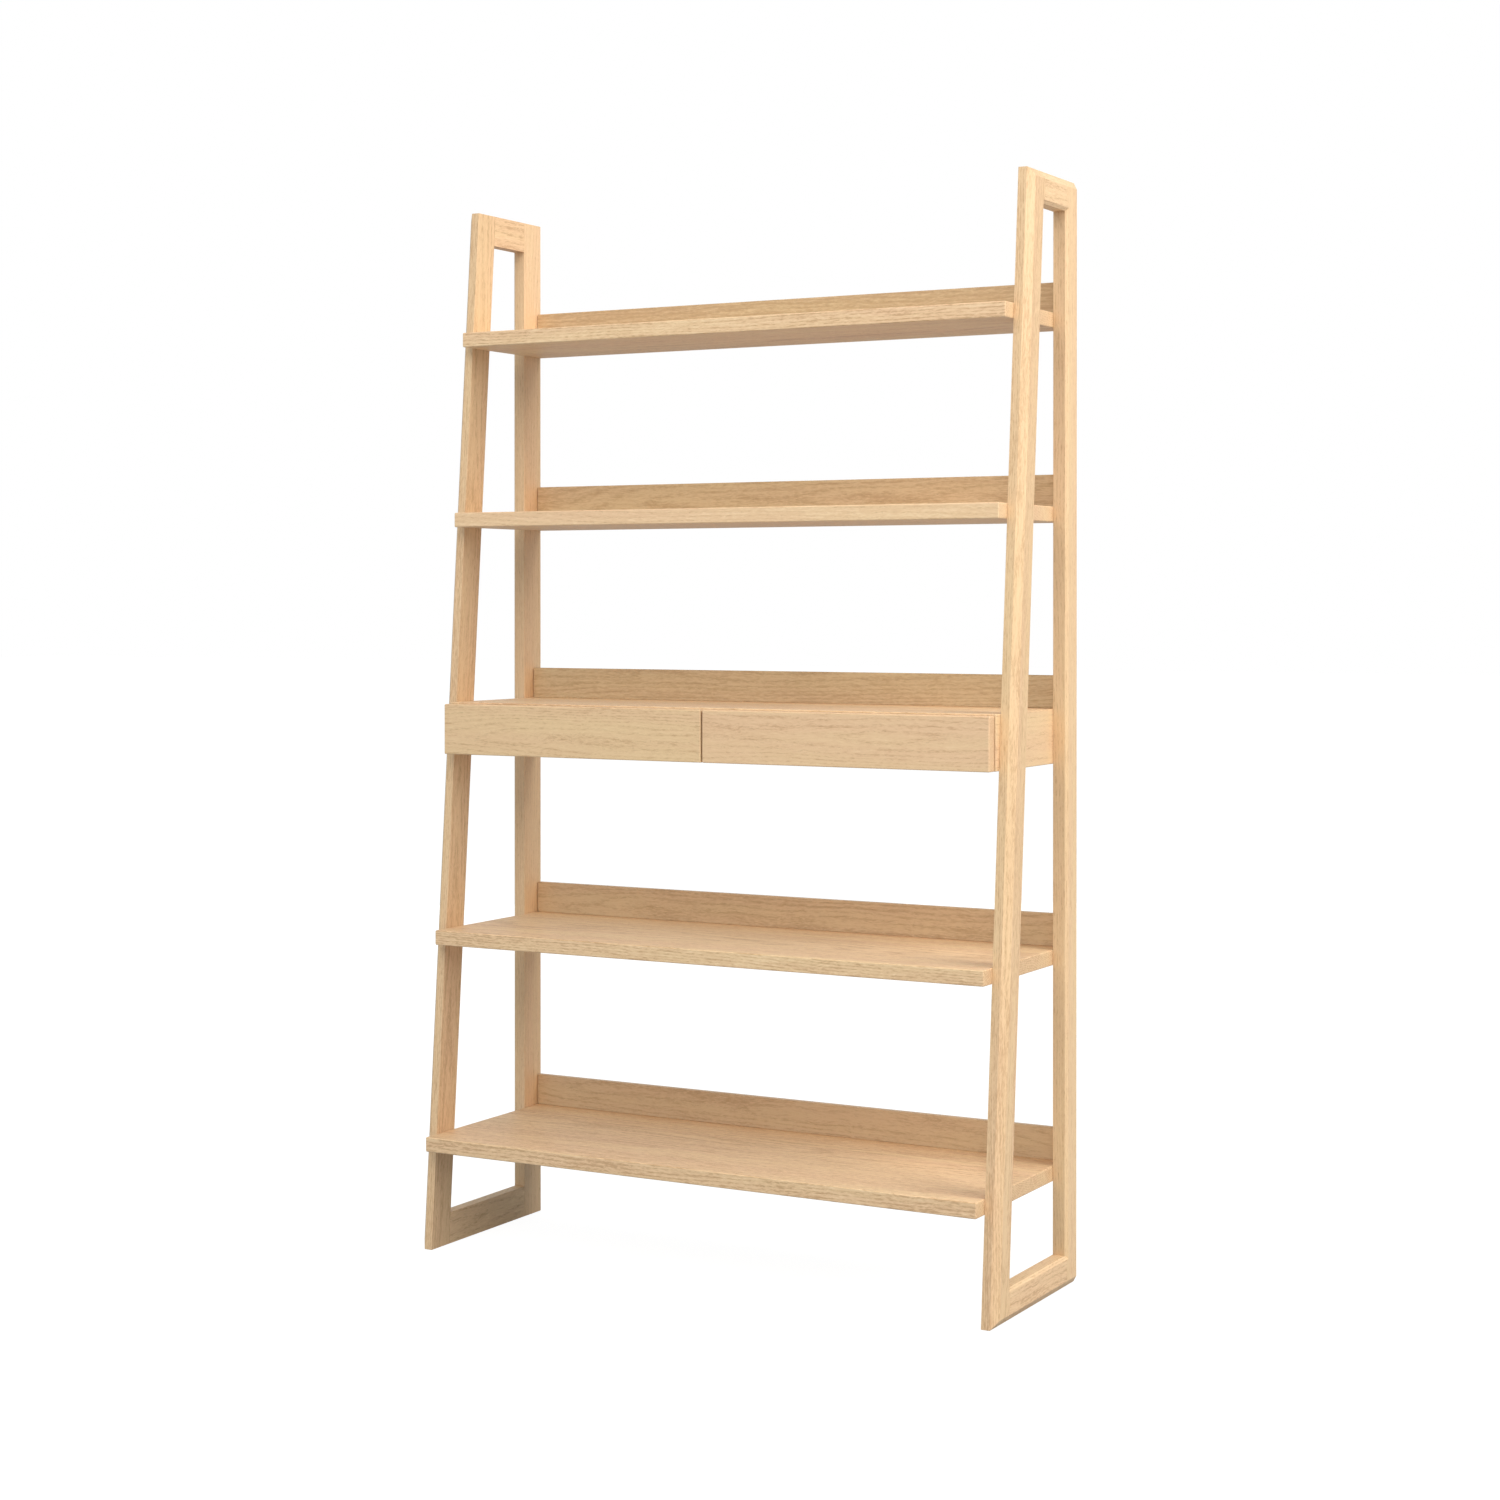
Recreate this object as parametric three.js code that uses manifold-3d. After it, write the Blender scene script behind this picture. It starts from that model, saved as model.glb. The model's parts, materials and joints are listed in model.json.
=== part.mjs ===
// Ladder shelf in oak: two tapering side frames carry four open shelves and a case with two drawers.
// Millimetres. X runs along the shelves, Y towards the wall, Z up. The floor is z = 0.

import * as THREE from 'three';
import { ConvexGeometry } from 'three/addons/geometries/ConvexGeometry.js';
import { mergeVertices } from 'three/addons/utils/BufferGeometryUtils.js';
import Module from 'manifold-3d';

const wasm = await Module();
wasm.setup();

// Overall sizes
const overallWidth = 1200;
const footDepth = 377; // side frame at the floor, front to back
const headDepth = 218; // side frame at the top, front to back

// Heights, stacked from the floor up: each is the rise to the next top surface
const bottomShelfRise = 219.5; // from the floor
const lowerShelfRise = 390.5; // from the bottom shelf
const caseRise = 435; // from the lower shelf to the case's top
const upperShelfRise = 365.5; // from the case's top
const topShelfRise = 350; // from the upper shelf
const headRise = 239.5; // from the top shelf to the top of the side frames

// Side frames
const frameThickness = 28;
const frontLegWidth = 58; // along Y
const rearLegWidth = 59; // along Y
const topRailHeight = 58.5;
const bottomRailHeight = 60;
const rimBevelDepth = 11.7; // outer rim bevel, into the thickness
const rimBevelFace = 14.7; // outer rim bevel, across the outer face
const openingBevelDepth = 5;
const openingBevelFace = 6;

// Frame joinery
const shoulderGap = 0.3; // between a rail's end and the leg
const tenonThickness = 10;
const tenonLength = 30;
const tenonShoulder = 12; // rail edge to tenon edge
const mortiseGap = 0.3; // all round a tenon
const mortiseEndGap = 1.5;

// Shelves
const shelfThickness = 28;
const shelfOverhang = 37; // in front of the front legs
const edgeEase = 2.2; // small bevel on the edges of boards

// Gallery boards that stand along the back of every tier
const galleryHeight = 60;
const galleryThickness = 12;
const galleryEndGap = 1;
const galleryEase = 1;

// Drawer case
const caseHeight = 99;
const caseRearInset = 15; // case back to the rear face of the rear legs
const caseSideThickness = 18;
const caseTopThickness = 18;
const caseBottomThickness = 12;
const caseDividerThickness = 18;
const caseRearThickness = 10;
const innerEase = 1;

// Drawers
const drawerFrontDrop = 3; // drawer front's top below the case's top
const drawerFrontThickness = 22;
const drawerFrontProud = 7; // drawer fronts in front of the line of the shelves
const drawerFrontGap = 2; // between drawer front and case
const drawerEndInset = 2; // drawer front's end to the side frame
const drawerMeetingGap = 3; // between the two drawer fronts
const drawerRearGap = 16.5; // between a drawer and the case's rear panel
const drawerTopGap = 5.5; // between a drawer and the case's top
const drawerBoardThickness = 12;
const drawerSideGap = 2.5; // between a drawer side and the case
const drawerBottomThickness = 5;
const drawerBottomRise = 8; // drawer side's lower edge to the bottom panel
const drawerGrooveDepth = 6;
const drawerGrooveGap = 0.3;
const runnerHeight = 4;
const runnerWidth = 14;
const runnerSetback = 14; // case front to runner front
const runnerRearGap = 12; // runner to the case's rear panel
const runnerClearance = 0.3; // under the drawer sides

// Dowels
const dowelRadius = 5;
const dowelSides = 16;
const dowelInLeg = 18;
const dowelInShelf = 22;
const dowelInCase = 12;
const dowelGap = 0.3; // hole radius over dowel radius
const dowelEndGap = 1;

// Planes and lengths that follow from the sizes above; a shelf's height is that of its top surface
const bottomShelfHeight = bottomShelfRise;
const lowerShelfHeight = bottomShelfHeight + lowerShelfRise;
const caseTopHeight = lowerShelfHeight + caseRise;
const upperShelfHeight = caseTopHeight + upperShelfRise;
const topShelfHeight = upperShelfHeight + topShelfRise;
const overallHeight = topShelfHeight + headRise;
const innerX = overallWidth / 2 - frameThickness;
const outerX = overallWidth / 2;
const frameDepthAt = (z) => footDepth - (footDepth - headDepth) * z / overallHeight;
const tierDepthAt = (z) => frameDepthAt(z) + shelfOverhang;
const tierHeights = [topShelfHeight, upperShelfHeight, caseTopHeight, lowerShelfHeight, bottomShelfHeight];
const overallDepth = Math.max(footDepth, ...tierHeights.map(tierDepthAt));
const rearY = overallDepth / 2;
const legFrontY = (z) => rearY - frameDepthAt(z);
const tierFrontY = (z) => rearY - tierDepthAt(z);

const shelf = new THREE.Group();

// Materials

const material = (color, roughness) => new THREE.MeshStandardMaterial({ color, roughness, metalness: 0 });
const frameOak = () => material(0xe3c08f, 0.55);
const boardOak = () => material(0xe0bc8b, 0.55);
const galleryOak = () => material(0xc9a271, 0.58);
const drawerFrontOak = () => material(0xe2bf92, 0.55);
const drawerBoxOak = () => material(0xdcc097, 0.6);
const plywood = () => material(0xe4cfa8, 0.65);
const beech = () => material(0xd9b184, 0.6);

// Solids

// A closed geometry as a manifold solid.
function solid(geometry) {
  const bare = geometry.clone();
  bare.deleteAttribute('normal');
  bare.deleteAttribute('uv');
  const merged = mergeVertices(bare);
  const vertProperties = new Float32Array(merged.attributes.position.array);
  const triVerts = new Uint32Array(merged.index.array);
  return new wasm.Manifold(new wasm.Mesh({ numProp: 3, vertProperties, triVerts }));
}

// A manifold solid as a flat-shaded geometry.
function geometryOf(manifold) {
  const mesh = manifold.getMesh();
  const geometry = new THREE.BufferGeometry();
  geometry.setAttribute('position', new THREE.BufferAttribute(mesh.vertProperties, 3));
  geometry.setIndex(new THREE.BufferAttribute(mesh.triVerts, 1));
  const flat = geometry.toNonIndexed();
  flat.computeVertexNormals();
  return flat;
}

function add(name, geometry, finish, position = [0, 0, 0]) {
  const mesh = new THREE.Mesh(geometry, finish);
  mesh.name = name;
  mesh.position.set(...position);
  shelf.add(mesh);
}

// The hull of several outlines, each a list of [y, z] points at its own x.
function loft(sections) {
  const points = sections.flatMap(({ x, outline }) => outline.map(([y, z]) => new THREE.Vector3(x, y, z)));
  return new ConvexGeometry(points);
}

// A box from one corner to the other, with all its edges bevelled by the same small amount.
function easedBoard(low, high, ease) {
  const points = [];
  const ends = [low, high];
  for (let corner = 0; corner < 8; corner += 1) {
    const picks = [corner & 1, (corner >> 1) & 1, (corner >> 2) & 1];
    for (let axis = 0; axis < 3; axis += 1) {
      // The corner point that stays on the faces square to this axis.
      const point = picks.map((pick, i) => ends[pick][i] + (i === axis ? 0 : (pick ? -ease : ease)));
      points.push(new THREE.Vector3(...point));
    }
  }
  return new ConvexGeometry(points);
}

function box(low, high) {
  const size = high.map((value, i) => value - low[i]);
  const geometry = new THREE.BoxGeometry(...size);
  geometry.translate(...low.map((value, i) => value + size[i] / 2));
  return geometry;
}

// A round bar along X between two x values.
function barAlongX(radius, fromX, toX, y, z) {
  const geometry = new THREE.CylinderGeometry(radius, radius, Math.abs(toX - fromX), dowelSides);
  geometry.rotateZ(Math.PI / 2);
  geometry.translate((fromX + toX) / 2, y, z);
  return geometry;
}

const interval = (a, b) => [Math.min(a, b), Math.max(a, b)];

// Dowels: each one is set half in a leg and half in the piece that the leg carries

const legCentreY = {
  front: (z) => legFrontY(z) + frontLegWidth / 2,
  rear: () => rearY - rearLegWidth / 2,
};

function dowelPlaces() {
  const shelves = {
    top_shelf: topShelfHeight,
    upper_shelf: upperShelfHeight,
    lower_shelf: lowerShelfHeight,
    bottom_shelf: bottomShelfHeight,
  };
  const carried = Object.entries(shelves)
    .map(([piece, height]) => ({ piece, z: height - shelfThickness / 2, reach: dowelInShelf }));
  carried.push({ piece: 'case', z: caseTopHeight - caseHeight / 2, reach: dowelInCase });
  return carried.flatMap(({ piece, z, reach }) => ['left', 'right'].flatMap((hand) =>
    ['front', 'rear'].map((leg) => ({
      name: `${piece}_${hand}_${leg}_dowel`, piece, hand, leg, z, reach, y: legCentreY[leg](z),
    }))));
}

const signOf = { left: -1, right: 1 };
const dowels = dowelPlaces();

// The holes for the dowels that meet the condition, cut from a solid.
function drilled(body, condition) {
  let result = body;
  for (const dowel of dowels.filter(condition)) {
    const sign = signOf[dowel.hand];
    const fromX = sign * (innerX - dowel.reach - dowelEndGap);
    const toX = sign * (innerX + dowelInLeg + dowelEndGap);
    result = result.subtract(solid(barAlongX(dowelRadius + dowelGap, fromX, toX, dowel.y, dowel.z)));
  }
  return result;
}

function addDowels() {
  for (const dowel of dowels) {
    const sign = signOf[dowel.hand];
    const fromX = sign * (innerX - dowel.reach);
    const toX = sign * (innerX + dowelInLeg);
    add(dowel.name, barAlongX(dowelRadius, fromX, toX, dowel.y, dowel.z), beech());
  }
}

// Side frames: the outer rim has a wide bevel, and the opening a narrow one

// Corners of the frame's opening, grown outwards by an amount: front low, front high, rear high, rear low.
function openingOutline(grow) {
  const low = bottomRailHeight - grow;
  const high = overallHeight - topRailHeight + grow;
  const front = (z) => legFrontY(z) + frontLegWidth - grow;
  const rear = rearY - rearLegWidth + grow;
  return [[front(low), low], [front(high), high], [rear, high], [rear, low]];
}

// A tapering block that cuts the bevel round the opening on the outer face.
function openingBevelCutter(sign) {
  const slope = openingBevelFace / openingBevelDepth;
  const over = 2;
  return solid(loft([
    { x: sign * (outerX - openingBevelDepth - over), outline: openingOutline(-over * slope) },
    { x: sign * (outerX + over), outline: openingOutline(openingBevelFace + over * slope) },
  ]));
}

// A frame member: full outline up to the rim bevel, and the smaller outer face beyond it.
function bevelledMember(sign, outline, face) {
  return solid(loft([
    { x: sign * innerX, outline },
    { x: sign * (outerX - rimBevelDepth), outline },
    { x: sign * outerX, outline: face },
  ]));
}

function frontLegOutline(lowZ, highZ, frontInset) {
  const front = (z) => legFrontY(z) + frontInset;
  const back = (z) => legFrontY(z) + frontLegWidth;
  return [[front(lowZ), lowZ], [front(highZ), highZ], [back(highZ), highZ], [back(lowZ), lowZ]];
}

function rearLegOutline(lowZ, highZ, rearInset) {
  const front = rearY - rearLegWidth;
  const back = rearY - rearInset;
  return [[front, lowZ], [front, highZ], [back, highZ], [back, lowZ]];
}

// Outline between the legs from one height to another; reach carries it into both legs.
function railOutline(lowZ, highZ, reach) {
  const front = (z) => legFrontY(z) + frontLegWidth - reach;
  const back = rearY - rearLegWidth + reach;
  return [[front(lowZ), lowZ], [front(highZ), highZ], [back, highZ], [back, lowZ]];
}

// The tenon bar that runs through a rail and sticks out at both ends, or with a gap, its mortises.
function tenonBar(sign, lowZ, highZ, gap, endGap) {
  const middle = innerX + frameThickness / 2;
  const outline = railOutline(lowZ + tenonShoulder - gap, highZ - tenonShoulder + gap, tenonLength + endGap);
  return solid(loft([
    { x: sign * (middle - tenonThickness / 2 - gap), outline },
    { x: sign * (middle + tenonThickness / 2 + gap), outline },
  ]));
}

const topRailLow = overallHeight - topRailHeight;

function addSideFrame(hand) {
  const sign = signOf[hand];
  const cutter = openingBevelCutter(sign);
  const faceLow = rimBevelFace;
  const faceHigh = overallHeight - rimBevelFace;
  const mortises = tenonBar(sign, 0, bottomRailHeight, mortiseGap, mortiseEndGap)
    .add(tenonBar(sign, topRailLow, overallHeight, mortiseGap, mortiseEndGap));

  const legs = {
    front: bevelledMember(sign, frontLegOutline(0, overallHeight, 0),
      frontLegOutline(faceLow, faceHigh, rimBevelFace)),
    rear: bevelledMember(sign, rearLegOutline(0, overallHeight, 0),
      rearLegOutline(faceLow, faceHigh, rimBevelFace)),
  };
  for (const leg of ['front', 'rear']) {
    const cut = drilled(legs[leg].subtract(mortises).subtract(cutter),
      (dowel) => dowel.hand === hand && dowel.leg === leg);
    add(`${hand}_${leg}_leg`, geometryOf(cut), frameOak());
  }

  const topRail = bevelledMember(sign, railOutline(topRailLow, overallHeight, -shoulderGap),
    railOutline(topRailLow, faceHigh, -shoulderGap));
  const bottomRail = bevelledMember(sign, railOutline(0, bottomRailHeight, -shoulderGap),
    railOutline(faceLow, bottomRailHeight, -shoulderGap));
  add(`${hand}_top_rail`,
    geometryOf(topRail.subtract(cutter).add(tenonBar(sign, topRailLow, overallHeight, 0, 0))), frameOak());
  add(`${hand}_bottom_rail`,
    geometryOf(bottomRail.subtract(cutter).add(tenonBar(sign, 0, bottomRailHeight, 0, 0))), frameOak());
}

// Open shelves and galleries

function addShelf(piece, height) {
  const board = easedBoard([-innerX, tierFrontY(height), height - shelfThickness],
    [innerX, rearY, height], edgeEase);
  add(piece, geometryOf(drilled(solid(board), (dowel) => dowel.piece === piece)), boardOak());
}

function addGallery(piece, height, rearInset) {
  const endX = innerX - galleryEndGap;
  const backY = rearY - rearInset;
  add(piece, easedBoard([-endX, backY - galleryThickness, height],
    [endX, backY, height + galleryHeight], galleryEase), galleryOak());
}

// Drawer case: full-height sides, with the other panels between them

const caseFrontY = tierFrontY(caseTopHeight) - drawerFrontProud + drawerFrontThickness + drawerFrontGap;
const caseBackY = rearY - caseRearInset;
const caseLow = caseTopHeight - caseHeight;
const caseInsideX = innerX - caseSideThickness;
const caseInsideLow = caseLow + caseBottomThickness;
const caseInsideHigh = caseTopHeight - caseTopThickness;

function addCase() {
  for (const hand of ['left', 'right']) {
    const [lowX, highX] = interval(signOf[hand] * caseInsideX, signOf[hand] * innerX);
    const side = easedBoard([lowX, caseFrontY, caseLow], [highX, caseBackY, caseTopHeight], edgeEase);
    add(`case_${hand}_side`,
      geometryOf(drilled(solid(side), (dowel) => dowel.piece === 'case' && dowel.hand === hand)), boardOak());
  }
  add('case_top', easedBoard([-caseInsideX, caseFrontY, caseInsideHigh],
    [caseInsideX, caseBackY, caseTopHeight], edgeEase), boardOak());
  add('case_bottom', easedBoard([-caseInsideX, caseFrontY, caseLow],
    [caseInsideX, caseBackY, caseInsideLow], innerEase), drawerBoxOak());
  add('case_rear_panel', box([-caseInsideX, caseBackY - caseRearThickness, caseInsideLow],
    [caseInsideX, caseBackY, caseInsideHigh]), drawerBoxOak());
  add('case_divider', easedBoard([-caseDividerThickness / 2, caseFrontY, caseInsideLow],
    [caseDividerThickness / 2, caseBackY - caseRearThickness, caseInsideHigh], innerEase), boardOak());
}

// Drawers: a box of six boards behind an overlay front, on two runner strips

const boxLowX = caseDividerThickness / 2 + drawerSideGap;
const boxHighX = caseInsideX - drawerSideGap;
const boxFrontY = caseFrontY - drawerFrontGap;
const boxBackY = caseBackY - caseRearThickness - drawerRearGap;
const boxLow = caseInsideLow + runnerHeight + runnerClearance;
const boxHigh = caseInsideHigh - drawerTopGap;
const bottomLow = boxLow + drawerBottomRise;
const bottomHigh = bottomLow + drawerBottomThickness;
const runnerFrontY = caseFrontY + runnerSetback;
const runnerBackY = caseBackY - caseRearThickness - runnerRearGap;

// A box that is mirrored to the left hand by its sign.
function handed(sign, [lowX, lowY, lowZ], [highX, highY, highZ]) {
  const [fromX, toX] = interval(sign * lowX, sign * highX);
  return [[fromX, lowY, lowZ], [toX, highY, highZ]];
}

function addDrawer(hand) {
  const sign = signOf[hand];
  const insideLowX = boxLowX + drawerBoardThickness;
  const insideHighX = boxHighX - drawerBoardThickness;
  const groove = solid(box(...handed(sign,
    [insideLowX - drawerGrooveDepth, boxFrontY + drawerBoardThickness - drawerGrooveDepth,
      bottomLow - drawerGrooveGap],
    [insideHighX + drawerGrooveDepth, boxBackY + drawerGrooveDepth, bottomHigh + drawerGrooveGap])));

  const front = easedBoard(...handed(sign,
    [drawerMeetingGap / 2, boxFrontY - drawerFrontThickness, caseLow],
    [innerX - drawerEndInset, boxFrontY, caseTopHeight - drawerFrontDrop]), edgeEase);
  add(`${hand}_drawer_front`, front, drawerFrontOak());

  const innerFront = box(...handed(sign, [insideLowX, boxFrontY, boxLow],
    [insideHighX, boxFrontY + drawerBoardThickness, boxHigh]));
  add(`${hand}_drawer_inner_front`, geometryOf(solid(innerFront).subtract(groove)), drawerBoxOak());

  const sides = { inner: [boxLowX, insideLowX], outer: [insideHighX, boxHighX] };
  for (const [place, [lowX, highX]] of Object.entries(sides)) {
    const side = box(...handed(sign, [lowX, boxFrontY, boxLow], [highX, boxBackY, boxHigh]));
    add(`${hand}_drawer_${place}_side`, geometryOf(solid(side).subtract(groove)), drawerBoxOak());

    const middleX = (lowX + highX) / 2;
    const runner = box(...handed(sign, [middleX - runnerWidth / 2, runnerFrontY, caseInsideLow],
      [middleX + runnerWidth / 2, runnerBackY, caseInsideLow + runnerHeight]));
    add(`${hand}_drawer_${place}_runner`, runner, beech());
  }

  // The bottom panel slides in from behind, under the back board.
  const bottomEdge = drawerGrooveDepth - drawerGrooveGap;
  add(`${hand}_drawer_bottom`, box(...handed(sign,
    [insideLowX - bottomEdge, boxFrontY + drawerBoardThickness - bottomEdge, bottomLow],
    [insideHighX + bottomEdge, boxBackY, bottomHigh])), plywood());
  add(`${hand}_drawer_back`, box(...handed(sign,
    [insideLowX, boxBackY - drawerBoardThickness, bottomHigh + drawerGrooveGap],
    [insideHighX, boxBackY, boxHigh])), drawerBoxOak());
}

// Assembly

for (const hand of ['left', 'right']) {
  addSideFrame(hand);
  addDrawer(hand);
}
addShelf('top_shelf', topShelfHeight);
addShelf('upper_shelf', upperShelfHeight);
addShelf('lower_shelf', lowerShelfHeight);
addShelf('bottom_shelf', bottomShelfHeight);
addGallery('top_shelf_gallery', topShelfHeight, 0);
addGallery('upper_shelf_gallery', upperShelfHeight, 0);
addGallery('case_gallery', caseTopHeight, caseRearInset);
addGallery('lower_shelf_gallery', lowerShelfHeight, 0);
addGallery('bottom_shelf_gallery', bottomShelfHeight, 0);
addCase();
addDowels();

export default shelf;
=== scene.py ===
import bpy
import json
import math
import bmesh
import numpy as np
from mathutils import Euler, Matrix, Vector


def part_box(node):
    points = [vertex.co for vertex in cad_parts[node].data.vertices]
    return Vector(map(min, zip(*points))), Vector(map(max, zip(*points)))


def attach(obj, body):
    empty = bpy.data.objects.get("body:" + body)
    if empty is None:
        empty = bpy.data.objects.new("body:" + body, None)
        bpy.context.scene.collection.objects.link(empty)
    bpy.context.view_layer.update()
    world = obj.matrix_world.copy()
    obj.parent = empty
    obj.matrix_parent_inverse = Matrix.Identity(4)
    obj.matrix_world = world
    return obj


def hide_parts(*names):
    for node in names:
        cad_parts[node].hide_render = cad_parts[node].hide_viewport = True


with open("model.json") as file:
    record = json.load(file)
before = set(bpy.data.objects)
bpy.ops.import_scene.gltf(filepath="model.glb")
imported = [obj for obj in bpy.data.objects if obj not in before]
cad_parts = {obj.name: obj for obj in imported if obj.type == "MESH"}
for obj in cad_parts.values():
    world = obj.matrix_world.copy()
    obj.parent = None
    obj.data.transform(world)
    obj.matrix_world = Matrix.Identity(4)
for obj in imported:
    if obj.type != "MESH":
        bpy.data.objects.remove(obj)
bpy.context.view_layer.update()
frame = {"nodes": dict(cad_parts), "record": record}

scene = bpy.context.scene
scene.view_settings.view_transform = "Standard"
print("frame loaded:", len(frame["nodes"]), "nodes")

# Camera

cameraSetup = {
    "place": (2.4119, -4.3110, 1.2402),  # metres, in the shelf's own frame
    "turn": 28.98,  # degrees to the left of straight on
    "dip": 0.26,  # degrees below level
    "lens": 63.65,  # mm
    "sensor": 36.0,  # mm
    "rise": -0.0914,  # vertical shift
    "farthest": 60.0,  # metres
}


def makeCamera(setup):
    data = bpy.data.cameras.new("shelf_camera")
    data.lens = setup["lens"]
    data.sensor_width = setup["sensor"]
    data.shift_y = setup["rise"]
    data.clip_end = setup["farthest"]
    camera = bpy.data.objects.new("shelf_camera", data)
    scene.collection.objects.link(camera)
    camera.location = setup["place"]
    camera.rotation_euler = (math.radians(90.0 - setup["dip"]), 0.0, math.radians(setup["turn"]))
    scene.camera = camera


makeCamera(cameraSetup)
print("camera set")

# Surfaces

meshCare = {
    "samePlace": 1e-6,  # metres; points closer than this are merged
    "sameFlat": 0.1,  # degrees; edges flatter than this are taken out
}


def meshPiece(name, points, faces, normals=None):
    # one closed mesh at the origin; where no normals are given, coincident points are merged and
    # edges inside a flat face are taken out, so that a bevel meets clean corners
    mesh = bpy.data.meshes.new(name)
    mesh.from_pydata(points, [], faces)
    if normals is None:
        work = bmesh.new()
        work.from_mesh(mesh)
        bmesh.ops.remove_doubles(work, verts=work.verts, dist=meshCare["samePlace"])
        bmesh.ops.dissolve_limit(work, angle_limit=math.radians(meshCare["sameFlat"]),
                                 verts=work.verts, edges=work.edges)
        bmesh.ops.recalc_face_normals(work, faces=work.faces)
        work.to_mesh(mesh)
        work.free()
    mesh.shade_smooth()
    if normals is not None:
        mesh.normals_split_custom_set_from_vertices(normals)
    piece = bpy.data.objects.new(name, mesh)
    scene.collection.objects.link(piece)
    return piece


def gridFaces(rings, sides):
    # quads round each ring of a closed grid, and one flat face at either end
    ring, side = np.meshgrid(np.arange(rings - 1), np.arange(sides), indexing="ij")
    after = (side + 1) % sides
    corners = (ring * sides + side, ring * sides + after,
               (ring + 1) * sides + after, (ring + 1) * sides + side)
    quads = np.stack([c.ravel() for c in corners], axis=1).tolist()
    first = list(range(sides))[::-1]
    last = list(range((rings - 1) * sides, rings * sides))
    return quads + [first, last]


boardShape = {
    "arcSteps": 5,  # steps round each corner
    "spacing": 0.05,  # metres between rings along a board
    "endCorner": 0.2,  # share of the corner radius that is left at the very end
}


def roundedBoard(name, low, high, radius, along, shape):
    # A rectangle with rounded corners carried along one axis. Near an end, at angle a from 0 to 90 degrees,
    # the ring lies radius (1 - cos a) in from the end and is drawn in by radius (1 - sin a).
    # Its corner points are centre + cornerRadius (cos t, sin t), with t through each quarter turn.
    arcSteps = shape["arcSteps"]
    order = {"x": (0, 1, 2), "y": (1, 2, 0), "z": (2, 0, 1)}[along]
    low, high = np.array(low)[list(order)], np.array(high)[list(order)]
    bend = np.linspace(0.0, np.pi / 2, arcSteps + 1)
    ringCount = max(2, int((high[0] - low[0]) / shape["spacing"]))
    between = np.linspace(low[0] + radius, high[0] - radius, ringCount)[1:-1]
    place = np.concatenate([low[0] + radius * (1 - np.cos(bend)), between,
                            (high[0] - radius * (1 - np.cos(bend)))[::-1]])
    lean = np.concatenate([bend, np.full(len(between), np.pi / 2), bend[::-1]])
    facing = np.concatenate([-np.ones(len(bend)), np.zeros(len(between)), np.ones(len(bend))])
    inset = radius * (1 - np.sin(lean))
    cornerRadius = radius - (1 - shape["endCorner"]) * inset
    turn = np.concatenate([quarter * np.pi / 2 + bend for quarter in range(4)])
    signP = np.repeat([1, -1, -1, 1], arcSteps + 1)
    signQ = np.repeat([1, 1, -1, -1], arcSteps + 1)
    half = (high[1:] - low[1:]) / 2
    centre = (high[1:] + low[1:]) / 2
    reachP = (half[0] - inset - cornerRadius)[:, None]
    reachQ = (half[1] - inset - cornerRadius)[:, None]
    p = centre[0] + signP * reachP + cornerRadius[:, None] * np.cos(turn)
    q = centre[1] + signQ * reachQ + cornerRadius[:, None] * np.sin(turn)
    s = np.broadcast_to(place[:, None], p.shape)
    ownOrder = np.argsort(order)
    points = np.stack([s, p, q], axis=2)[:, :, ownOrder]
    across = np.sin(lean)[:, None]
    facing = np.broadcast_to((facing * np.cos(lean))[:, None], p.shape)
    normals = np.stack([facing, across * np.cos(turn), across * np.sin(turn)], axis=2)[:, :, ownOrder]
    return meshPiece(name, points.reshape(-1, 3), gridFaces(*p.shape), normals.reshape(-1, 3))


def easeArrises(piece, shape):
    bevel = piece.modifiers.new("eased arrises", "BEVEL")
    bevel.width = shape["arris"]
    bevel.segments = shape["arrisSteps"]
    bevel.limit_method = "ANGLE"
    bevel.angle_limit = math.radians(shape["arrisAngle"])
    bevel.harden_normals = True


# Side frames: legs and rails with a wide bevel round the rim and a narrow one round the opening

frameShape = {
    "frontLegWidth": 0.058,
    "rearLegWidth": 0.059,
    "topRail": 0.0585,
    "bottomRail": 0.060,
    "rimDepth": 0.0117,  # rim bevel, into the thickness
    "rimFace": 0.0147,  # rim bevel, across the outer face
    "openingDepth": 0.005,
    "openingFace": 0.006,
    "arris": 0.0006,  # the small bevel that eases every edge
    "arrisSteps": 3,
    "arrisAngle": 20,  # degrees; gentler edges stay sharp
    "legSteps": 24,
    "railSteps": 8,
}


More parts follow.
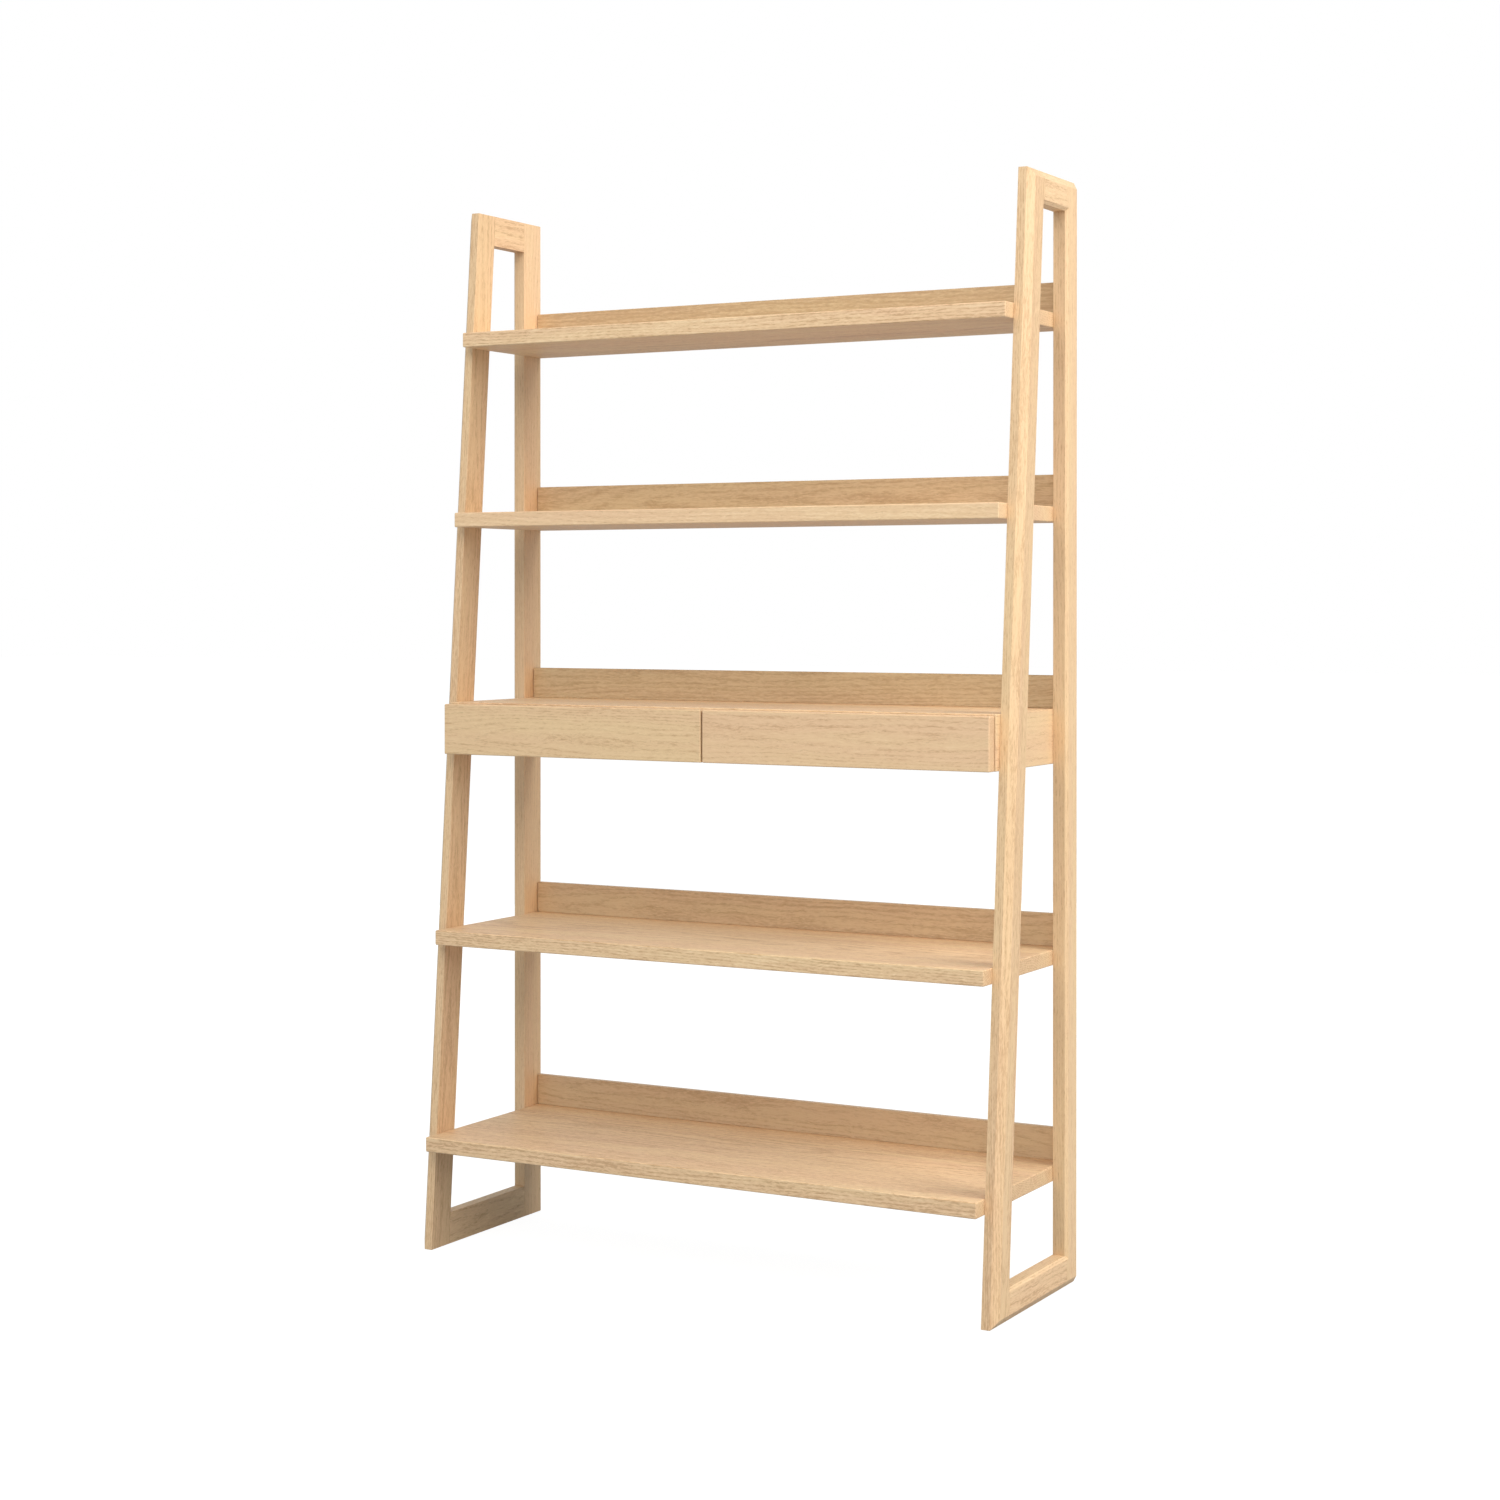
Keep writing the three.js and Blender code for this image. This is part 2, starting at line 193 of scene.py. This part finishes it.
def legSurface(name, outerX, innerX, rim, into, width, height, shape):
    # At height z the section has seven corners, each at depth d from the outer face and distance e in from
    # the rim: the rim bevel runs from (rimDepth, 0) to (out, rimFace (1 - out / rimDepth)), where out falls
    # from rimDepth at a leg's end to 0 at rimFace from it. The opening's bevel has depth
    # openingDepth (1 - t / openingFace), with t the distance past the opening, up to openingFace.
    low, high = shape["bottomRail"], height - shape["topRail"]
    deep, wide = shape["openingDepth"], shape["openingFace"]
    z = np.concatenate([[0.0, shape["rimFace"], low - wide], np.linspace(low, high, shape["legSteps"]),
                        [high + wide, height - shape["rimFace"], height]])
    fromEnd = np.minimum(z, height - z)
    out = shape["rimDepth"] * np.clip(1 - fromEnd / shape["rimFace"], 0, 1)
    past = np.clip(np.maximum(low - z, z - high), 0, wide)
    cut = np.maximum(deep * (1 - past / wide), out)
    thick = abs(outerX - innerX)
    zero, full = np.zeros_like(z), np.full_like(z, width)
    depth = np.stack([zero + thick, zero + shape["rimDepth"], out, out, cut, cut, zero + thick], axis=1)
    inward = np.stack([zero, zero, shape["rimFace"] * (1 - out / shape["rimDepth"]), full - wide,
                       full - past, full, full], axis=1)
    x = outerX - math.copysign(1, outerX) * depth
    y = rim(z)[:, None] + into * inward
    points = np.stack([x, y, np.broadcast_to(z[:, None], x.shape)], axis=2)
    piece = meshPiece(name, points.reshape(-1, 3).tolist(), gridFaces(*x.shape))
    easeArrises(piece, shape)
    return piece


def railSurface(name, outerX, innerX, rimZ, into, height, frontEnd, rearEnd, shape):
    # The section has six corners (d, e), d in from the outer face and e in from the rim, and is carried from
    # frontEnd(z) to rearEnd: y = (1 - u) frontEnd(z) + u rearEnd.
    thick = abs(outerX - innerX)
    depth = np.array([thick, shape["rimDepth"], 0, 0, shape["openingDepth"], thick])
    inward = np.array([0, 0, shape["rimFace"], height - shape["openingFace"], height, height])
    u = np.linspace(0, 1, shape["railSteps"])[:, None]
    z = np.broadcast_to(rimZ + into * inward, (len(u), len(depth)))
    x = np.broadcast_to(outerX - math.copysign(1, outerX) * depth, z.shape)
    y = (1 - u) * frontEnd(z) + u * rearEnd
    points = np.stack([x, y, z], axis=2)
    piece = meshPiece(name, points.reshape(-1, 3).tolist(), gridFaces(*z.shape))
    easeArrises(piece, shape)
    return piece


# Oak: everything is worked out in the wood's own frame, with the grain along z

oakLook = {
    "pale": (0.860, 0.635, 0.405),
    "light": (0.800, 0.570, 0.345),
    "mid": (0.690, 0.467, 0.268),
    "dark": (0.516, 0.322, 0.170),
    "pore": (0.330, 0.200, 0.110),
    "ring": 0.0042,  # metres between growth rings
    "wander": 0.009,  # how far rings stray
    "roughness": 0.50,
    "cast": (1.0, 1.0, 1.0),  # multiplies the finished colour
}
# painted shade: the gallery boards stand in shade behind the shelves, so their colour is made cooler and
# darker, the lower two less so
galleryShadeCast = (0.865, 0.935, 0.970)
lowGalleryShadeCast = (0.915, 0.975, 1.000)

oakGrain = {  # a size is repeats per metre, twice across the grain and once along it
    "slow": (9.0, 9.0, 1.3),  # the rings' long wander
    "slowShare": 3.0,
    "quick": (60.0, 60.0, 5.0),  # the rings' small wander
    "quickShare": 0.25,
    "pithLean": 0.02,  # most that the pith leans, metres for each metre
    "startReach": 3.0,  # metres that a board may lie along the tree
    "ringSlip": 2.0,  # rings that the long wander shifts by
    "ringStops": [(0.0, 0.75), (0.12, 0.25), (0.55, 0.1), (0.9, 0.75), (1.0, 0.75)],
    "earlyStops": [(0.0, 1.0), (0.35, 0.3), (0.7, 0.0), (1.0, 1.0)],  # where pores crowd in a ring
    "sway": (9.0, 9.0, 12.0),
    "swayReach": (0.016, 0.016, 0.0),  # metres
    "bands": (26.0, 26.0, 1.2),
    "streaks": (190.0, 190.0, 8.0),
    "flecks": (420.0, 420.0, 70.0),
    "fibres": (900.0, 900.0, 30.0),
    "vessels": (1700.0, 1700.0, 110.0),
    "poreStops": [(0.0, 0.0), (0.60, 0.0), (0.68, 1.0)],
    "breakUp": 1.5,  # how far flecks break up the rings, and what is left without them
    "unbroken": 0.25,
    "ringPart": 0.55,  # what each adds to the darkening
    "streakPart": 1.4,
    "bandPart": 0.9,
    "fleckPart": 2.0,
    "fibrePart": 0.6,
    "balance": 0.17,  # taken off, so that the parts together average about nothing
    "level": 0.40,  # darkening of plain wood, from 0 for light to 1 for mid
    "paleSpan": 3.0,  # a span is how steeply one colour gives way to the next
    "deepFrom": 0.55,
    "deepSpan": 1.4,
    "bandHue": 2.2,  # how far each leans the colour to yellow or to red
    "fleckHue": 0.9,
    "yellowTint": (1.0, 1.0, 0.95),
    "redTint": (1.025, 0.975, 0.985),
    "poreDepth": 0.42,
    "endFrom": 0.75,  # how squarely a face cuts the grain before it darkens
    "endSpan": 4.0,
    "endDepth": 0.22,
    "fibreRough": 0.12,  # what each adds to the roughness
    "streakRough": 0.08,
    "poreRough": 0.15,
    "endRough": 0.08,
    "fibreRise": 0.35,  # what each adds to the relief, or takes from it
    "poreFall": 0.8,
    "ringRise": 0.25,
    "relief": 0.0004,  # metres
    "reliefStrength": 0.22,
    "sheen": 0.32,
}


class Wire:
    # a node's output; arithmetic on it adds Math nodes
    def __init__(self, tree, out=None):
        self.tree, self.out = tree, out

    def node(self, kind, settings, inputs, output=0):
        made = self.tree.nodes.new(kind)
        for key, value in settings.items():
            if key == "stops":
                ramp = made.color_ramp
                while len(ramp.elements) < len(value):
                    ramp.elements.new(1.0)
                for element, (place, level) in zip(ramp.elements, value):
                    element.position = place
                    element.color = (level, level, level, 1.0)
            else:
                setattr(made, key, value)
        for key, value in inputs.items():
            if isinstance(value, Wire):
                self.tree.links.new(value.out, made.inputs[key])
            else:
                made.inputs[key].default_value = value
        return Wire(self.tree, made.outputs[output] if len(made.outputs) else None)

    def maths(self, operation, first, second=0.0, clamp=False, third=0.0):
        return self.node("ShaderNodeMath", {"operation": operation, "use_clamp": clamp},
                         {0: first, 1: second, 2: third})

    def __add__(self, other):
        return self.maths("ADD", self, other)

    def __sub__(self, other):
        return self.maths("SUBTRACT", self, other)

    def __rsub__(self, other):
        return self.maths("SUBTRACT", other, self)

    def __mul__(self, other):
        return self.maths("MULTIPLY", self, other)

    def __truediv__(self, other):
        return self.maths("DIVIDE", self, other)

    def __pow__(self, other):
        return self.maths("POWER", self, other)

    __radd__ = __add__
    __rmul__ = __mul__


grainTurns = {  # turns that bring the grain to z
    "x": (0.0, -90.0, 0.0),
    "y": (90.0, 0.0, 0.0),
    "z": (0.0, 0.0, 0.0),
}


def stretched(wire, scale, detail=2.0, rough=0.5, output=0):
    # noise round 0.5, with its own scale on each axis of the wood's frame
    spread = wire.node("ShaderNodeVectorMath", {"operation": "MULTIPLY"}, {0: wire, 1: scale})
    return wire.node("ShaderNodeTexNoise", {"noise_dimensions": "3D"},
                     {"Vector": spread, "Scale": 1.0, "Detail": detail, "Roughness": rough}, output)


def mixed(wire, share, first, second, blend="MIX"):
    colours = {6: first, 7: second}
    for key, value in colours.items():
        if not isinstance(value, Wire):
            colours[key] = (*value, 1.0)
    return wire.node("ShaderNodeMix", {"data_type": "RGBA", "blend_type": blend, "clamp_result": False},
                     {0: share, **colours}, 2)


def oakMaterial(name, look, grain, centre, seed, pith, warm=0.0, shade=0.0, figure=1.0, tilt=0.0):
    how = oakGrain
    material = bpy.data.materials.new(name)
    material.use_nodes = True
    tree = material.node_tree
    tree.nodes.clear()
    start = Wire(tree)
    turn = Euler([math.radians(angle) for angle in grainTurns[grain]])
    turn.x += tilt
    rng = np.random.default_rng(seed)
    shift = Vector((0.0, 0.0, float(rng.uniform(-how["startReach"], how["startReach"]))))
    place = shift - turn.to_matrix() @ Vector(centre)
    own = start.node("ShaderNodeTexCoord", {}, {}, "Object")
    wood = own.node("ShaderNodeMapping", {"vector_type": "POINT"},
                    {"Vector": own, "Location": place, "Rotation": turn, "Scale": (1.0, 1.0, 1.0)})
    split = wood.node("ShaderNodeSeparateXYZ", {}, {0: wood}).out.node.outputs
    across, through, along = (Wire(tree, out) for out in split)

    # growth rings round a pith that leans a little
    slow = stretched(wood, how["slow"], 2.0) - 0.5
    quick = stretched(wood, how["quick"], 2.0) - 0.5
    lean = how["pithLean"]
    awayAcross = across - (along * float(rng.uniform(-lean, lean)) + pith[0])
    awayThrough = through - (along * float(rng.uniform(-lean, lean)) + pith[1])
    radius = (awayAcross * awayAcross + awayThrough * awayThrough) ** 0.5
    strayed = radius + slow * look["wander"] * how["slowShare"] + quick * look["wander"] * how["quickShare"]
    rings = strayed / look["ring"] + slow * how["ringSlip"]
    rings = rings.maths("FRACT", rings)
    ringTone = rings.node("ShaderNodeValToRGB", {"stops": how["ringStops"]}, {0: rings})
    early = rings.node("ShaderNodeValToRGB", {"stops": how["earlyStops"]}, {0: rings})

    # broad bands, streaks, flecks, fibres and pores, all swaying a little
    sway = wood.node("ShaderNodeVectorMath", {"operation": "MULTIPLY_ADD"}, {
        0: stretched(wood, how["sway"], 2.0, 0.5, 1), 1: how["swayReach"], 2: wood})
    bands = stretched(sway, how["bands"], 2.0)
    streaks = stretched(sway, how["streaks"], 3.0, 0.6)
    flecks = stretched(sway, how["flecks"], 3.0, 0.65)
    fibres = stretched(sway, how["fibres"], 2.0)
    vessels = stretched(sway, how["vessels"], 1.0)
    pores = vessels.node("ShaderNodeValToRGB", {"stops": how["poreStops"]}, {0: vessels}) * early

    # how dark: pale below 0, light at 0, mid at 1, with dark coming in past deepFrom
    broken = ringTone * (flecks * how["breakUp"] + how["unbroken"])
    strength = broken * how["ringPart"] + (streaks - 0.5) * how["streakPart"]
    strength = strength + (bands - 0.5) * how["bandPart"] + (flecks - 0.5) * how["fleckPart"]
    strength = strength + (fibres - 0.5) * how["fibrePart"] - how["balance"]
    # shade moves the whole piece darker, and lighter below 0; for the galleries, the top two shelves and
    # several legs and rails this is painted shade and painted light
    raw = strength * figure + (how["level"] + shade)
    tone = raw.maths("ADD", raw, 0.0, True)
    paler = raw.maths("MULTIPLY_ADD", raw, how["paleSpan"], True, 1.0)
    body = mixed(paler, paler, look["pale"], look["light"])
    body = mixed(tone, tone, body, look["mid"])
    deep = tone.maths("MULTIPLY", tone - how["deepFrom"], how["deepSpan"], True)
    body = mixed(body, deep, body, look["dark"])

    # bands and flecks lean to yellow or to red
    hue = (bands - 0.5) * how["bandHue"] + (flecks - 0.5) * how["fleckHue"] + warm
    hue = hue.maths("ADD", hue, 0.5, True)
    body = mixed(body, 1.0, body, mixed(hue, hue, how["yellowTint"], how["redTint"]), "MULTIPLY")
    body = mixed(body, pores * how["poreDepth"], body, look["pore"])

    # end grain drinks in more finish
    facing = own.node("ShaderNodeTexCoord", {}, {}, "Normal")
    axis = turn.to_matrix().inverted() @ Vector((0.0, 0.0, 1.0))
    endOn = facing.node("ShaderNodeVectorMath", {"operation": "DOT_PRODUCT"}, {0: facing, 1: axis}, "Value")
    endOn = endOn.maths("ABSOLUTE", endOn)
    endOn = endOn.maths("MULTIPLY", endOn - how["endFrom"], how["endSpan"], True)
    body = mixed(body, endOn * how["endDepth"], body, look["dark"])
    # the cast multiplies the finished colour; on the galleries it is painted shade
    body = mixed(body, 1.0, body, look["cast"], "MULTIPLY")

    rough = (fibres - 0.5) * how["fibreRough"] + (streaks - 0.5) * how["streakRough"]
    rough = rough + pores * how["poreRough"] + endOn * how["endRough"] + look["roughness"]
    height = fibres * how["fibreRise"] - pores * how["poreFall"] + ringTone * how["ringRise"]
    bump = height.node("ShaderNodeBump", {}, {
        "Height": height, "Strength": how["reliefStrength"], "Distance": how["relief"]})
    shader = bump.node("ShaderNodeBsdfPrincipled", {}, {
        "Base Color": body, "Roughness": rough, "Normal": bump, "Specular IOR Level": how["sheen"]})
    shader.node("ShaderNodeOutputMaterial", {}, {"Surface": shader})
    return material


# Boards

shelfEdge, galleryEdge, caseEdge = 0.0024, 0.001, 0.0022  # corner radii in metres

boardLooks = {
    # pith: the rings' centre from the board's middle, in metres across and through it. warm leans the
    # colour to red, shade darkens it and lightens it below 0, and figure is the strength of the grain.
    # Besides the boards' own tones, shade paints light and shade: the galleries darker, as painted shade
    # where they stand behind the shelves, and the top two shelves lighter, as painted light.
    "top_shelf": {
        "radius": shelfEdge, "grain": "x", "pith": (0.16, 0.05),
        "warm": 0.0, "shade": -0.15, "figure": 1.35},
    "upper_shelf": {
        "radius": shelfEdge, "grain": "x", "pith": (-0.13, 0.10),
        "warm": 0.1, "shade": -0.3, "figure": 0.9},
    "lower_shelf": {
        "radius": shelfEdge, "grain": "x", "pith": (0.19, -0.06),
        "warm": 0.0, "shade": 0.0, "figure": 1.35},
    "bottom_shelf": {
        "radius": shelfEdge, "grain": "x", "pith": (-0.17, 0.04),
        "warm": 0.05, "shade": 0.08, "figure": 1.35},
    "top_shelf_gallery": {
        "radius": galleryEdge, "grain": "x", "pith": (0.02, 0.09),
        "warm": 0.1, "shade": 0.44, "figure": 0.6, "cast": galleryShadeCast},
    "upper_shelf_gallery": {
        "radius": galleryEdge, "grain": "x", "pith": (0.01, 0.08),
        "warm": 0.0, "shade": 0.26, "figure": 0.6, "cast": galleryShadeCast},
    "case_gallery": {
        "radius": galleryEdge, "grain": "x", "pith": (-0.01, 0.07),
        "warm": -0.1, "shade": 0.26, "figure": 0.6, "cast": galleryShadeCast},
    "lower_shelf_gallery": {
        "radius": galleryEdge, "grain": "x", "pith": (0.02, 0.09),
        "warm": 0.15, "shade": 0.17, "figure": 0.6, "cast": lowGalleryShadeCast},
    "bottom_shelf_gallery": {
        "radius": galleryEdge, "grain": "x", "pith": (-0.02, 0.08),
        "warm": 0.2, "shade": 0.12, "figure": 0.6, "cast": lowGalleryShadeCast},
    "case_top": {
        "radius": caseEdge, "grain": "x", "pith": (0.15, 0.08),
        "warm": 0.0, "shade": 0.0, "figure": 1.35},
    "case_left_side": {
        "radius": caseEdge, "grain": "y", "pith": (0.09, 0.02),
        "warm": 0.0, "shade": 0.0, "figure": 0.6},
    "case_right_side": {
        "radius": caseEdge, "grain": "y", "pith": (-0.09, 0.01),
        "warm": 0.0, "shade": 0.0, "figure": 0.6},
    "left_drawer_front": {
        "radius": caseEdge, "grain": "x", "pith": (0.01, 0.06),
        "warm": -0.2, "shade": 0.0, "figure": 0.72},
    "right_drawer_front": {
        "radius": caseEdge, "grain": "x", "pith": (-0.02, 0.06),
        "warm": 0.3, "shade": 0.0, "figure": 0.72},
}
firstSeeds = {"boards": 11, "frames": 41, "inner": 71}  # each piece after the first takes the next

bodyOf = {node: body for body, nodes in frame["record"]["behaviour"]["bodies"].items() for node in nodes}
slotOf = {part["node"]: part["material_slot"] for part in frame["record"]["subparts"]}


def middle(low, high):
    return [(a + b) / 2 for a, b in zip(low, high)]


def stand(piece, node, material):
    piece.data.materials.append(material)
    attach(piece, bodyOf[node])
    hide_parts(node)


for count, (node, look) in enumerate(boardLooks.items()):
    low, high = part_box(node)
    board = roundedBoard(node + "_board", low, high, look["radius"], look["grain"], boardShape)
    colours = {**oakLook, "cast": look.get("cast", oakLook["cast"])}
    wood = oakMaterial("oak_" + node, colours, look["grain"], middle(low, high), firstSeeds["boards"] + count,
                       look["pith"], look["warm"], look["shade"], look["figure"])
    stand(board, node, wood)
print("boards made:", len(boardLooks))

# Legs and rails

# shade darkens a piece and lightens it below 0. Besides the pieces' own tones it paints light and shade:
# painted shade on the front legs and the left top rail, and painted light on the left rear leg and the left
# bottom rail.
frameLooks = {
    "left_front_leg": {"pith": (0.05, 0.03), "warm": 0.0, "shade": 0.15, "figure": 0.75},
    "left_rear_leg": {"pith": (-0.06, 0.02), "warm": 0.1, "shade": -0.17, "figure": 0.75},
    "right_front_leg": {"pith": (0.07, -0.02), "warm": -0.1, "shade": 0.17, "figure": 0.75},
    "right_rear_leg": {"pith": (0.06, 0.05), "warm": 0.0, "shade": 0.0, "figure": 0.75},
    "left_top_rail": {"pith": (0.06, 0.01), "warm": 0.1, "shade": 0.13, "figure": 1.0},
    "left_bottom_rail": {"pith": (-0.05, 0.02), "warm": 0.0, "shade": -0.2, "figure": 1.1},
    "right_top_rail": {"pith": (0.05, -0.01), "warm": 0.0, "shade": 0.0, "figure": 1.0},
    "right_bottom_rail": {"pith": (0.06, 0.02), "warm": 0.05, "shade": 0.0, "figure": 1.0},
}

for hand in ("left", "right"):
    frontLow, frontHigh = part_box(hand + "_front_leg")
    rearLow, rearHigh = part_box(hand + "_rear_leg")
    height = frontHigh.z
    outerX, innerX = (rearHigh.x, rearLow.x) if hand == "right" else (rearLow.x, rearHigh.x)
    slope = (frontHigh.y - frameShape["frontLegWidth"] - frontLow.y) / height
    frontFace = lambda z: frontLow.y + slope * z
    rearFace = lambda z: rearHigh.y + 0 * z
    openingFront = lambda z: frontFace(z) + frameShape["frontLegWidth"]
    openingRear = rearHigh.y - frameShape["rearLegWidth"]
    made = {
        "front_leg": legSurface(hand + "_front_leg_oak", outerX, innerX, frontFace, 1,
                                frameShape["frontLegWidth"], height, frameShape),
        "rear_leg": legSurface(hand + "_rear_leg_oak", outerX, innerX, rearFace, -1,
                               frameShape["rearLegWidth"], height, frameShape),
        "top_rail": railSurface(hand + "_top_rail_oak", outerX, innerX, height, -1, frameShape["topRail"],
                                openingFront, openingRear, frameShape),
        "bottom_rail": railSurface(hand + "_bottom_rail_oak", outerX, innerX, 0.0, 1,
                                   frameShape["bottomRail"], openingFront, openingRear, frameShape),
    }
    for place, piece in made.items():
        node = f"{hand}_{place}"
        look = frameLooks[node]
        low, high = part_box(node)
        grain = "z" if place.endswith("leg") else "y"
        tilt = math.atan(slope) if place == "front_leg" else 0.0
        seed = firstSeeds["frames"] + list(frameLooks).index(node)
        wood = oakMaterial("oak_" + node, oakLook, grain, middle(low, high), seed,
                           look["pith"], look["warm"], look["shade"], look["figure"], tilt)
        stand(piece, node, wood)
print("side frames made")

# Drawer boxes, the case's inner panels, runners and dowels keep their own solids

innerLooks = {
    "drawer_box_oak": {"pale": (0.85, 0.66, 0.45), "light": (0.80, 0.61, 0.41), "mid": (0.72, 0.53, 0.33),
                       "dark": (0.56, 0.38, 0.22), "roughness": 0.58},
    "plywood": {"pale": (0.88, 0.74, 0.53), "light": (0.84, 0.70, 0.49), "mid": (0.76, 0.60, 0.38),
                "dark": (0.62, 0.45, 0.26), "ring": 0.009, "roughness": 0.62},
    "beech": {"pale": (0.77, 0.53, 0.34), "light": (0.72, 0.49, 0.31), "mid": (0.62, 0.40, 0.24),
              "dark": (0.46, 0.28, 0.16), "ring": 0.0025, "roughness": 0.55},
    "board_oak": {},
}
innerPith = (0.05, 0.03)

kept = [node for node in frame["nodes"] if node not in boardLooks and node not in frameLooks]
for count, node in enumerate(sorted(kept)):
    low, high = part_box(node)
    spans = [b - a for a, b in zip(low, high)]
    grain = "xyz"[spans.index(max(spans))]
    look = {**oakLook, **innerLooks[slotOf[node]]}
    wood = oakMaterial("inner_" + node, look, grain, middle(low, high),
                       firstSeeds["inner"] + count, innerPith)
    for slot in frame["nodes"][node].material_slots:
        slot.material = wood
print("inner pieces finished:", len(kept))

# Floor, surroundings and lights

studio = {
    "floorReach": 40.0,
    "floorHeight": -0.0004,  # a hair under the feet
    "floorBounce": (0.44, 0.468, 0.49),  # the floor's colour as the wood sees it
    "floorShown": 0.17,  # and as the camera sees it, with a glow that keeps it nearly white
    "floorGlow": 0.93,
    "ambient": (0.505, 0.572, 0.63),
    "aim": (0.0, 0.0, 0.9),  # the point that the lights look at
    "lampSize": 4.0,
}

lamps = {
    "key": {"place": (5.2, -0.1, 4.4), "power": 288.0, "colour": (1.0, 0.940, 0.868), "mirrored": True},
    "fill": {"place": (1.1, -4.5, 4.7), "power": 204.0, "colour": (1.0, 0.960, 0.890), "mirrored": True},
    "rear": {"place": (-3.0, 5.0, 1.3), "power": 75.0, "colour": (1.0, 1.0, 1.0), "mirrored": False},
}  # mirrored: whether the lamp shows in the wood's sheen


def makeFloor(setup):
    mesh = bpy.data.meshes.new("floor")
    reach, low = setup["floorReach"], setup["floorHeight"]
    corners = [(-reach, -reach, low), (reach, -reach, low), (reach, reach, low), (-reach, reach, low)]
    mesh.from_pydata(corners, [], [(0, 1, 2, 3)])
    floor = bpy.data.objects.new("floor", mesh)
    scene.collection.objects.link(floor)
    material = bpy.data.materials.new("pale_floor")
    material.use_nodes = True
    tree = material.node_tree
    tree.nodes.clear()
    start = Wire(tree)
    seen = start.node("ShaderNodeLightPath", {}, {}, "Is Camera Ray")
    lit = seen.node("ShaderNodeBsdfDiffuse", {}, {"Color": (*setup["floorBounce"], 1.0)})
    shown = seen.node("ShaderNodeBsdfPrincipled", {}, {
        "Base Color": (setup["floorShown"],) * 3 + (1.0,), "Roughness": 1.0, "Specular IOR Level": 0.0,
        "Emission Color": (1.0, 1.0, 1.0, 1.0), "Emission Strength": setup["floorGlow"]})
    both = seen.node("ShaderNodeMixShader", {}, {0: seen, 1: lit, 2: shown})
    both.node("ShaderNodeOutputMaterial", {}, {"Surface": both})
    mesh.materials.append(material)


def makeWorld(setup):
    world = bpy.data.worlds.new("studio")
    scene.world = world
    world.use_nodes = True
    tree = world.node_tree
    tree.nodes.clear()
    start = Wire(tree)
    seen = start.node("ShaderNodeLightPath", {}, {}, "Is Camera Ray")
    light = mixed(seen, seen, setup["ambient"], (1.0, 1.0, 1.0))
    back = seen.node("ShaderNodeBackground", {}, {"Color": light, "Strength": 1.0})
    back.node("ShaderNodeOutputWorld", {}, {"Surface": back})


def makeLamp(name, lamp, setup):
    data = bpy.data.lights.new(name, "AREA")
    data.color = lamp["colour"]
    data.energy = lamp["power"]
    data.size = setup["lampSize"]
    light = bpy.data.objects.new(name, data)
    scene.collection.objects.link(light)
    light.location = lamp["place"]
    aim = Vector(setup["aim"]) - Vector(lamp["place"])
    light.rotation_euler = aim.to_track_quat("-Z", "Y").to_euler()
    light.visible_glossy = lamp["mirrored"]


makeFloor(studio)
makeWorld(studio)
for name, lamp in lamps.items():
    makeLamp(name, lamp, studio)
print("studio lit")
